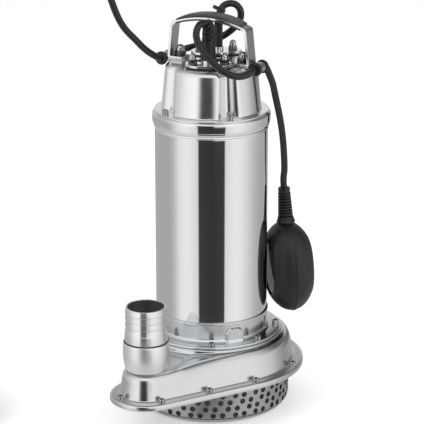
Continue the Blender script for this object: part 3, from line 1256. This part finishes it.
@dataclass
class MotorCan:
    """The can, its lower clamping collar, its top band and the dome with its screws."""

    can_t: float = 2.0
    band_r: float = 73.0
    band_z1: float = 379.0
    collar_r: float = 87.0
    collar_foot: float = 69.6  # radius of the collar's wall at its foot
    collar_lip: float = 71.6  # the same near its upper edge
    collar_wall: float = 71.0  # radius that widths on the wall are measured on
    collar_screw_r: float = 81.5
    arch_az: float = -66.0
    arch_r: float = 11.0
    arch_deep: float = 4.4
    tab_az: float = -111.0
    tab_half: float = 8.0
    tab_h: float = 3.4
    tab_from: float = 118.0
    tab_deep: float = 1.2
    dome_r0: float = 61.5
    dome_r1: float = 57.0
    dome_round: float = 8.0
    dome_screw_r: float = 63.5
    dome_screw_az: tuple[float, ...] = (-69.5, 35.0, 110.0, -152.0)
    flute_half: Pair = (17.5, 13.5)
    flute_deep: Pair = (9.5, 7.5)

    def can(self) -> None:
        """Straight can with a bead under the top band."""
        r, low, high, t = CAN_R, CAN_Z0, CAN_Z1, self.can_t
        bead = [(r - 0.1 + math.sin(math.pi * i / 8), high - 7.8 + 3.6 * i / 8, 0.0) for i in range(9)]
        corners = [
            (r - t, low, 0.0), (r - 0.6, low, 0.2), (r, low + 0.7, 0.5), (r, high - 8.4, 0.8), *bead,
            (r, high - 3.6, 0.4), (r, high, 0.0), (r - t, high, 0.0),
        ]
        can = revolve("motor_can", fillet(corners, 4), segments=256, sharp=40)
        dress(can, MIRROR, PUMP, ("motor_casing",))

    def band(self) -> None:
        """Rolled band round the top of the can."""
        r, can_r, low, high, t = self.band_r, CAN_R, CAN_Z1, self.band_z1, self.can_t
        corners = [
            (can_r + 0.3, low, 0.0), (can_r + 0.3, low - 3, 0.2), (can_r + 1.7, low - 3, 0.5),
            (can_r + 2.2, low - 1.4, 0.5), (can_r + 2.2, low, 0.3), (r, low + 0.7, 0.7), (r, high - 2.2, 0.9),
            (r - 1.7, high, 0.9), (58, high, 0.0), (58, low - 2, 0.0), (can_r - t, low - 2, 0.0),
            (can_r - t, low, 0.0),
        ]
        band = revolve("top_band", fillet(corners, 5), segments=256, sharp=40)
        dress(band, MIRROR, PUMP, ("top_collar",))

    def collar_profile(self) -> list[Pair]:
        """Half section of the lower collar: a flange, and a wall that flares a little."""
        base, foot, lip = PLATEAU_Z, self.collar_foot, self.collar_lip
        corners = [
            (66.5, base, 0.0), (self.collar_r - 0.9, base, 0.4), (self.collar_r, base + 1.1, 0.8),
            (self.collar_r - 0.7, base + 3, 0.8), (73.3, base + 3, 2.4), (foot, base + 6.5, 1.2),
        ]
        low, high = base + 7.2, CAN_Z0 - 0.9
        rows = round((high - low) / 0.8)
        wall = list(zip(spread(foot, lip, rows), spread(low, high, rows)))
        edge = [(lip - 0.3, CAN_Z0 - 0.3), (70.6, CAN_Z0), (66.5, CAN_Z0)]
        return fillet(corners, 5, closed=False) + wall + edge

    def bossed(self, radius: float, height: float, az: float) -> float:
        """Radius of the collar with the arched boss and the small tab standing out of its wall."""
        if not 68 < radius < 76:
            return radius
        side = math.radians(apart(az, self.arch_az)) * self.collar_wall
        above = height - (PLATEAU_Z + 11)
        arch = (abs(side) if above < 0 else math.hypot(side, above)) - self.arch_r
        reach = self.arch_deep * clamp((75.5 - radius) / 4.5)
        boss = reach * ease(0.9, -0.7, arch) if height > PLATEAU_Z + 2 else 0.0
        side = math.radians(apart(az, self.tab_az)) * self.collar_wall
        inside = max(abs(side) - self.tab_half, CAN_Z0 - self.tab_h - height)
        tab = self.tab_deep * ease(0.4, -0.4, inside) if height > self.tab_from else 0.0
        return radius + max(boss, tab)

    def lower_collar(self) -> None:
        """Flanged collar with its boss, and the eight screws in its flange."""
        rings = turned(self.collar_profile(), 540, radius_at=self.bossed)
        dress(loft("clamping_collar", rings, wrap=True, sharp=50), ROLLED, PUMP, ("lower_collar",))
        spots = raised(circle(self.collar_screw_r, 8), PLATEAU_Z + 3)
        socket_screws("collar_socket_screws", "collar_screws", spots, 5)

    def dome_profile(self) -> list[Pair]:
        """Outside of the dome from its foot flange to the middle of its flat top."""
        base, z_top, r0, r1 = self.band_z1, DOME_Z - self.dome_round, self.dome_r0, self.dome_r1
        corners = [
            (40, base, 0), (70.9, base, 0.2), (70.9, base + 2, 0.8), (r0 + 0.2, base + 2, 1.8),
            (r0 - 0.2, base + 5, 0),
        ]
        cone = list(zip(spread(r0 - 0.25, r1, 31), spread(base + 5, z_top, 31)))[1:-1]
        turn = []
        for a in (math.radians(az) for az in spread(0, 90, 12)):
            turn.append((r1 - self.dome_round * (1 - math.cos(a)), z_top + self.dome_round * math.sin(a)))
        flat = [(40.0, DOME_Z), (20.0, DOME_Z), (4.0, DOME_Z)]
        return [(8.0, base), *fillet(corners, 5, closed=False), *cone, *turn, *flat]

    def fluted(self, radius: float, height: float, az: float) -> float:
        """Radius of the dome after the flutes are pressed in over the screws, each with soft edges."""
        if height < self.band_z1 + 2.05:
            return radius
        up = clamp((height - self.band_z1) / (DOME_Z - self.band_z1))
        half, deep = mix(*self.flute_half, up), mix(*self.flute_deep, up) * ease(36, 50, radius)
        for screw in self.dome_screw_az:
            off = math.radians(apart(az, screw)) * radius
            if abs(off) < half:
                return radius - deep * math.cos(math.pi * off / (2 * half)) ** 2
        return radius

    def dome(self) -> None:
        """Dome with a flute over each of its screws."""
        dome = loft("dome_cover_shell", turned(self.dome_profile(), 900, radius_at=self.fluted), sharp=50)
        dress(dome, SPUN, PUMP, ("dome_cover",))
        spots = raised([polar(self.dome_screw_r, az) for az in self.dome_screw_az], self.band_z1 + 2)
        socket_screws("dome_socket_screws", "dome_screws", spots, 7)

    def build(self) -> None:
        """Makes can, band, collar and dome."""
        self.can()
        self.band()
        self.lower_collar()
        self.dome()


# --- Cable glands -----------------------------------------------------------------------------


@dataclass
class Glands:
    """The two oval cable glands on the dome: pads, gaskets, plates, collars, boots and cap nuts."""

    pad_z: float = 444.5
    gasket: float = 3.0
    float_gasket: float = 2.5
    plate: float = 3.0
    mains_at: Pair = (6.0, 14.0)
    mains_turn: float = 10.0
    mains_bore: Pair = (8.6, 14.4)
    mains_oval: Pair = (63.0, 32.0)
    mains_pitch: float = 20.5
    float_at: Pair = (-3.5, -27.0)
    float_oval: Pair = (57.0, 38.0)
    float_pitch: float = 19.3
    boot_r: float = 5.2
    mains_boot_z: float = 485.0
    float_boot_r: float = 7.0
    boot_step: float = 0.3  # distance between the slotted boot's rings
    slot_pitch: float = 3.6
    slot_wide: float = 1.5
    slot_deep: float = 1.9
    first_slot: float = 2.6  # distance from the boot's upper end to its first slot
    slots: int = 6

    @property
    def mains_seat(self) -> float:
        """Top of the mains gland's plate."""
        return self.pad_z + self.gasket + self.plate

    @property
    def float_seat(self) -> float:
        """Top of the float gland's plate."""
        return DOME_Z + self.float_gasket + self.plate

    @property
    def mains_place(self) -> Matrix:
        """Matrix of the mains gland's place on the dome."""
        turn = Matrix.Rotation(math.radians(self.mains_turn), 4, "Z")
        return Matrix.Translation((*self.mains_at, 0)) @ turn

    @property
    def float_place(self) -> Matrix:
        """Matrix of the float gland's place on the dome."""
        return Matrix.Translation((*self.float_at, 0))

    def oval(self, name: str, node: str, finish: Finish, rounding: float, *plates: tuple) -> None:
        """Oval plates in one piece, each given by its size, its lower and upper height and its place."""
        bm = bmesh.new()
        for size, low, high, place in plates:
            slab(bm, stadium(*size), low, high, place)
        dress(bevel(to_object(name, bm, 32), rounding), finish, PUMP, (node,))

    def plates(self) -> None:
        """Pad, gaskets and plates of both glands."""
        mains, flt, z = self.mains_place, self.float_place, self.pad_z
        top, low = z + self.gasket, DOME_Z + self.float_gasket
        mains_inner, float_inner = [v - 1.4 for v in self.mains_oval], [v - 1.6 for v in self.float_oval]
        self.oval("mains_gland_pad", "dome_cover", MIRROR, 0.6, (self.mains_oval, DOME_Z - 1, z, mains))
        pads = (mains_inner, z, top, mains), (float_inner, DOME_Z, low, flt)
        self.oval("gland_gasket_pads", "gland_gaskets", RUBBER, 0.3, *pads)
        cover = (self.mains_oval, top, self.mains_seat, mains)
        self.oval("mains_gland_cover", "mains_gland_plate", MIRROR, 0.7, cover)
        cover = (self.float_oval, low, self.float_seat, flt)
        self.oval("float_gland_cover", "float_gland_plate", MIRROR, 0.7, cover)

    def collars(self) -> None:
        """Bright collars round the two boots."""
        bm = bmesh.new()
        for at, seat, inner, outer, height in (
            (self.mains_bore, self.mains_seat, self.boot_r, 6.2, 4.5),
            (self.float_at, self.float_seat, self.float_boot_r, 8.8, 4.0),
        ):
            top = seat + height
            corners = [(inner, seat, 0), (outer, seat, 0.2), (outer, top, 0.5), (inner, top, 0.3)]
            revolve("", fillet(corners, 4), at, 64, bm=bm)
        dress(to_object("gland_collar_rings", bm, 35), SPUN, PUMP, ("gland_collars",))

    def boots(self) -> None:
        """Smooth mains boot and slotted float boot."""
        r, seat, top = self.boot_r, self.mains_seat, self.mains_boot_z
        corners = [
            (CABLE_R, seat - 2, 0), (r, seat - 2, 0), (r, top - 1.6, 0.6), (r - 0.9, top, 0.5),
            (CABLE_R, top, 0),
        ]
        boot = revolve("mains_strain_relief", fillet(corners, 4), self.mains_bore, 64)
        dress(boot, RUBBER, PUMP, ("mains_boot",))
        dress(self.slotted_boot(), RUBBER, PUMP, ("float_cable_boot",))

    def slotted_boot(self) -> Object:
        """Tapered boot, cut by staggered slots, whose upper end bends over with the cable."""
        seat, step, segments = self.float_seat - 1.5, self.boot_step, 96
        foot = [Vector((*self.float_at, seat + 8 * i)) for i in range(5)]
        path, across = smooth_path(foot + Cables().loop()[:3], step), Vector((0.81, -0.586, 0))
        last = len(path) - 1
        stations = [(i, self.boot_taper(step * i, step * last)) for i in range(1, last)]
        stations += [(i, CABLE_R) for i in range(last - 1, 0, -8)]
        rings = []
        for i, radius in stations:
            side = (path[i + 1] - path[i - 1]).normalized().cross(across)
            left = step * (last - i)
            turns = [360 * k / segments for k in range(segments)]
            spots = [polar(radius - self.slot_depth(left, az, radius), az) for az in turns]
            rings.append([path[i] + across * spot.x + side * spot.y for spot in spots])
        return loft("float_cable_strain_relief", rings, wrap=True, sharp=50)

    def boot_taper(self, along: float, whole: float) -> float:
        """Radius of the slotted boot at a distance from its foot: a neck, a taper and a rounded end."""
        radius = mix(9.0, 7.0, (along / whole) ** 1.6)
        end = clamp(1 - (whole - along) / 1.5)
        return mix(self.float_boot_r, radius, ease(5.2, 5.8, along)) - 1.6 * end**2

    def slot_depth(self, left: float, az: float, radius: float) -> float:
        """Depth of the flexing slots, by distance from the boot's upper end and direction about its axis."""
        wide, beyond = self.slot_wide, left - self.first_slot
        row = math.floor(beyond / self.slot_pitch)
        if not 0 <= row < self.slots or radius < CABLE_R + 1:
            return 0.0
        within = beyond - row * self.slot_pitch
        across = ease(0.0, 0.5, within) * ease(wide + 0.5, wide, within)
        gap = abs((az - 90 * (row % 2) + 90) % 180 - 90)
        return self.slot_deep * across * ease(66, 54, gap)

    def build(self) -> None:
        """Makes all pieces of the glands."""
        self.plates()
        self.collars()
        self.boots()
        mains = [self.mains_place @ Vector((side * self.mains_pitch, 0, self.mains_seat)) for side in (-1, 1)]
        flt = [self.float_place @ Vector((side * self.float_pitch, 0, self.float_seat)) for side in (-1, 1)]
        CapNut().group("gland_cap_nuts", "gland_nuts", mains + flt, 11)


# --- Handle, cable eyes and tie ---------------------------------------------------------------


@dataclass
class Handle:
    """Bolted strap handle with its rubber grip, cable eyes, grommets and cable tie."""

    width: float = 19.0
    thick: float = 2.5
    top_z: float = 495.0
    leg_top: Pair = (52.0, 485.0)
    leg_foot: float = 56.2
    foot_z: float = 440.0
    foot_in: float = 36.0
    foot_bolt: float = 43.0
    eye_len: float = 15.0
    eye_bore: float = 5.5
    grommet_r: float = 8.4
    grip_half: float = 44.0
    grip_w: float = 20.5
    grip_h: float = 4.6
    under: float = 1.8

    @property
    def side_view(self) -> Matrix:
        """Matrix from the handle's side view (x along it, y up, z across) to the pump."""
        return Matrix.Rotation(math.radians(HANDLE_TURN), 4, "Z") @ Matrix.Rotation(math.pi / 2, 4, "X")

    def arch(self, x: float, off: float = 0.0) -> float:
        """Height of the arched top, moved outwards by a distance."""
        rise = self.top_z - self.leg_top[1]
        radius = (self.leg_top[0] ** 2 + rise**2) / (2 * rise)
        return self.top_z - radius + math.sqrt((radius + off) ** 2 - x * x)

    def half_strap(self) -> list[Triple]:
        """Corners of one half of the strap's side view, with their roundings."""
        steps = spread(0.0, self.grip_half, 10)
        x, z, t = self.leg_top[0], self.leg_top[1], self.thick
        outer = [(s, self.arch(s), 0.0) for s in steps]
        inner = [(s, self.arch(s, -t), 0.0) for s in reversed(steps)]
        return [
            *outer, (x - 1.6, z + 0.6, 2.2), (x, z - 2.2, 1.6), (self.leg_foot, self.foot_z + 4.2, 1.0),
            (self.leg_foot - 0.2, self.foot_z, 3.0), (self.foot_in, self.foot_z, 0.0),
            (self.foot_in, self.foot_z + t, 0.0), (self.leg_foot - 3.4, self.foot_z + t, 1.4),
            (x - 3.2, z - 4.6, 1.0), (x - 5.2, z - 2.6, 1.0), *inner,
        ]

    def strap(self) -> None:
        """The bent strip, its edges rounded."""
        half = self.half_strap()
        whole = half + [(-x, z, r) for x, z, r in reversed(half[1:-1])]
        bm = bmesh.new()
        slab(bm, fillet(whole, 4), -self.width / 2, self.width / 2, self.side_view)
        strap = bevel(to_object("handle_strip", bm, 30), 0.45)
        dress(strap, BRUSHED, PUMP, ("handle_strap",))
        across = self.side_view.to_3x3() @ Vector((0, 0, 1))
        add_finish(strap, BRIGHT_EDGE, lambda face: abs(face.normal.dot(across)) > 0.9)

    def grip(self) -> None:
        """Crescent pad on the arch and the thin pad under it."""
        rings = []
        for x in spread(-self.grip_half, self.grip_half, 48):
            bulge = math.sqrt(max(0.0, 1 - (x / (self.grip_half + 0.9)) ** 2))
            low, high = self.arch(x) + 0.02, self.arch(x) + 1.2 + (self.grip_h - 1.2) * bulge
            half = self.grip_w / 2 * mix(0.9, 1.0, min(1.0, 2.2 * bulge))
            ring = []
            for spot in circle(1, 32):
                up = mix(low, high, 0.5 + 0.5 * signed_power(spot.y, 0.6))
                ring.append(self.side_view @ Vector((x, up, half * signed_power(spot.x, 0.42))))
            rings.append(ring)
        dress(loft("grip_pad", rings, sharp=60), GRIP, PUMP, ("handle_grip",))
        bm = bmesh.new()
        steps = spread(-self.grip_half, self.grip_half, 24)
        upper = [(x, self.arch(x, -self.thick)) for x in steps]
        lower = [(x, self.arch(x, -self.thick - self.under)) for x in reversed(steps)]
        slab(bm, upper + lower, -self.grip_w / 2, self.grip_w / 2, self.side_view)
        dress(bevel(to_object("grip_under_pad", bm, 30), 0.5), GRIP, PUMP, ("handle_grip",))

    def bush(self, depth: float) -> list[Pair]:
        """Half section of a grommet pushed into an eye from one side."""
        r, c, bore = self.grommet_r, CABLE_R, self.eye_bore
        return fillet([
            (c, -depth, 0), (bore, -depth, 0), (bore, 0, 0), (r - 1, 0, 0.3), (r, 0.8, 0.6), (r, 2.8, 0.9),
            (r - 1.5, 4, 0.8), (c + 0.2, 4, 0.4),
        ], 4)

    def grommet(self, name: str, node: str, side: int, front: Sequence[Pair], back: Sequence[Pair]) -> None:
        """Grommet of the left (-1) or right (1) eye, from the half sections of its two ends."""
        bm = bmesh.new()
        for out, profile in ((1, front), (-1, back)):
            centre, axis = polar(side * EYE_AT, HANDLE_TURN), polar(side * out, HANDLE_TURN + 90)
            z_axis = Vector((axis.x, axis.y, 0))
            start = Vector((centre.x, centre.y, EYE_Z)) + z_axis * self.eye_len / 2
            place = Matrix.Translation(start) @ z_axis.to_track_quat("Z", "Y").to_matrix().to_4x4()
            loft("", turned(profile, 64, place), wrap=True, bm=bm)
        dress(to_object(name, bm, 35), RUBBER, PUMP, (node,))

    def build(self, frame: dict) -> None:
        """Makes all pieces of the handle."""
        self.strap()
        self.grip()
        remake(frame, "cable_eyes", "cable_eye_brackets", CAP_NUT, 0.25, 2, 25)
        thin = fillet([(CABLE_R, 0, 0), (7.2, 0, 0.2), (7.2, 2, 0.6), (CABLE_R + 0.2, 2, 0.4)], 4)
        self.grommet("left_rubber_grommet", "left_grommet", -1, self.bush(self.eye_len), thin)
        self.grommet("right_rubber_grommets", "right_grommets", 1, self.bush(7), self.bush(7))
        remake(frame, "cable_tie", "grip_cable_tie", NYLON, 0.3)
        feet = [polar(side * self.foot_bolt, HANDLE_TURN) for side in (1, -1)]
        spots = raised(feet, self.foot_z + self.thick)
        CapNut(size=8.0, flats=12.5, height=14.0).group("handle_cap_nuts", "handle_nuts", spots, 13)


# --- Float ------------------------------------------------------------------------------------


@dataclass
class FloatSwitch:
    """Float body in two welded halves, with its moulded nut and ribbed boot."""

    yaw: float = 16.0
    height: float = 117.0
    width: float = 80.0
    thick: float = 53.0
    bulge: float = 34.0
    squareness: float = 2.3  # power of the oval section; 2 is a plain ellipse
    ridge: float = 0.5
    sunken: float = 1.5  # depth of the oval faces
    nut_h: float = 8.5
    ribs: int = 8
    rib_pitch: float = 3.7
    rib_r: float = 7.7
    grips: int = 12  # flutes round the neck's nut
    grip_deep: float = 0.35
    grip_from: float = 9.3  # radius beyond which the nut is fluted

    @property
    def axis(self) -> Matrix:
        """Matrix from the float's neck and lean to the pump."""
        return Matrix.Translation(NECK) @ Matrix.Rotation(math.radians(FLOAT_TILT), 4, "Y")

    @property
    def place(self) -> Matrix:
        """The same, turned with the float's body."""
        return self.axis @ Matrix.Rotation(math.radians(self.yaw), 4, "Z")

    def ring(self, x: float, grow_by: float) -> list[Vector]:
        """Oval section of the body at a distance from the weld plane."""
        share = math.sqrt(1 - (min(abs(x), self.thick / 2) / self.bulge) ** 2)
        w, h, power = self.width / 2 * share + grow_by, self.height / 2 * share + grow_by, 2 / self.squareness
        ring = []
        for spot in circle(1, 120):
            y, z = w * signed_power(spot.x, power), h * signed_power(spot.y, power)
            ring.append(self.place @ Vector((x, y, z - self.height / 2)))
        return ring

    def half(self, side: int) -> Object:
        """One half: weld ridge, bellied side, raised rim and sunk oval face."""
        face, ridge, sunk = self.thick / 2, self.ridge, self.thick / 2 - self.sunken
        steps = [
            (0.0, 0.0), (0.0, ridge - 0.2), (0.3, ridge), (1.1, ridge), (1.5, ridge - 0.2), (1.9, 0.1),
            (2.4, 0.0), *((x, 0.0) for x in spread(3.0, face - 1.6, 18)),
            (face - 0.9, -0.1), (face - 0.3, -0.35), (face, -0.9), (face, -2.2), (face - 0.3, -2.8),
            (face - 1.0, -3.2), (face - 1.4, -3.8), (sunk, -6.0), (sunk, -14.0),
        ]
        rings = [self.ring(side * x, grow_by) for x, grow_by in steps]
        return loft("float_half_left" if side < 0 else "float_half_right", rings, sharp=50)

    def boot_tree(self) -> Tree:
        """Tree that stacks shrinking rubber ribs on the boot's core."""
        floats = ("Pitch", "Radius", "Taper", "Rib Width", "Rib Depth")
        tree, given = new_tree("Boot ribs", {"Ribs": "Int", **dict.fromkeys(floats, "Float")})
        stack = {"Count": given["Ribs"], "Offset": xyz(tree, Z=given["Pitch"])}
        line = add(tree, "GeometryNodeMeshLine", stack).outputs[0]
        round_it = {"Resolution": 72, "Radius": given["Radius"]}
        hoop = add(tree, "GeometryNodeCurvePrimitiveCircle", round_it).outputs[0]
        oblong = {"Width": given["Rib Depth"], "Height": given["Rib Width"]}
        section = add(tree, "GeometryNodeCurvePrimitiveQuadrilateral", oblong).outputs[0]
        edges = {"Curve": section, "Count": 3, "Radius": 0.5 * MM}
        rounded = add(tree, "GeometryNodeFilletCurve", edges, mode="POLY").outputs[0]
        rib = add(tree, "GeometryNodeCurveToMesh", {"Curve": hoop, "Profile Curve": rounded}).outputs[0]
        index = add(tree, "GeometryNodeInputIndex").outputs[0]
        shrink = maths(tree, "MULTIPLY_ADD", index, maths(tree, "MULTIPLY", given["Taper"], -1.0), 1.0)
        ribs = stand(tree, line, rib, Scale=xyz(tree, X=shrink, Y=shrink, Z=1.0))
        both = add(tree, "GeometryNodeJoinGeometry").inputs[0]
        tree.links.new(ribs, both)
        tree.links.new(given["Geometry"], both)
        close_tree(tree, both.node.outputs[0], RUBBER)
        return tree

    def boot(self) -> None:
        """Ribbed boot: a smooth core, and ribs stacked on it by geometry nodes."""
        base = self.nut_h + 1.6
        top = BOOT_TOP - base
        corners = [
            (CABLE_R, -2.05, 0), (9.2, -2.05, 0.3), (9.4, -0.4, 0.3), (6.2, -0.2, 0.3),
            (5.4, top - 6.7, 0.3), (7.4, top - 6.3, 0.4), (7.5, top, 0.4), (CABLE_R, top, 0.2),
        ]
        core = revolve("float_ribbed_boot", fillet(corners, 4), segments=72)
        values = {
            "Ribs": self.ribs, "Pitch": self.rib_pitch * MM, "Radius": self.rib_r * MM, "Taper": 0.021,
            "Rib Width": 1.9 * MM, "Rib Depth": 3.6 * MM,
        }
        grow(core, self.boot_tree(), values, sharp=40)
        lift = self.axis @ Matrix.Translation((0, 0, base + 1.1))
        core.data.transform(Matrix.Scale(MM, 4) @ lift @ Matrix.Scale(1 / MM, 4))
        dress(core, RUBBER, FLOAT, ("float_boot",))

    def gripped(self, radius: float, _height: float, az: float) -> float:
        """Radius of the neck's nut with its grip flutes."""
        if radius < self.grip_from:
            return radius
        return radius - self.grip_deep * ease(0.5, 1.0, math.cos(math.radians(self.grips * az)))

    def nut(self) -> None:
        """Moulded nut that closes the neck, flared at its foot, with grip flutes."""
        top = self.nut_h - 0.5
        corners = [
            (CABLE_R, -8.8, 0), (6.2, -8.8, 0), (6.2, -0.3, 0), (11.7, -0.3, 0.4), (11.6, 1.6, 0.6),
            (10.4, 4.2, 1.0), (9.9, top - 0.7, 0.4), (9.2, top, 0.3), (CABLE_R, top, 0),
        ]
        rings = turned(fillet(corners, 4), 120, self.place, self.gripped)
        dress(loft("float_neck_nut", rings, wrap=True, sharp=40), NYLON, FLOAT, ("float_nut",))

    def build(self) -> None:
        """Makes the two halves, the nut and the boot."""
        back, sunken = self.place.inverted(), self.thick / 2 - self.sunken

        def is_sunken(face: bpy.types.MeshPolygon) -> bool:
            return abs(abs((back @ (face.center / MM)).x) - sunken) < 0.08

        for side, node in ((-1, "float_shell_left"), (1, "float_shell_right")):
            half = dress(self.half(side), FLOAT_PLASTIC, FLOAT, (node,))
            add_finish(half, FLOAT_GLOSS, is_sunken)
        self.nut()
        self.boot()


# --- Inside pieces and the whole --------------------------------------------------------------


def paint_packed_nodes(frame: dict) -> None:
    """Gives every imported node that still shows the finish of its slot."""
    slots = {part["node"]: part.get("material_slot") for part in frame["record"]["subparts"]}
    for node, obj in frame["nodes"].items():
        if obj.hide_render:
            continue
        for slot in obj.material_slots:
            slot.material = SLOT_FINISHES.get(slots.get(node), FASTENER).material()


def main() -> None:
    """Builds the studio, the cables and every sub-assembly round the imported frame."""
    for obj in list(bpy.data.objects):
        bpy.data.objects.remove(obj)
    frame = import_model()
    Studio().build()
    Cables().mains(frame)
    Cables().float_cable()
    MotorCan().build()
    Volute().build()
    Foot().build()
    Discharge().build()
    Glands().build()
    Handle().build(frame)
    FloatSwitch().build()
    paint_packed_nodes(frame)


if __name__ == "__main__":
    main()
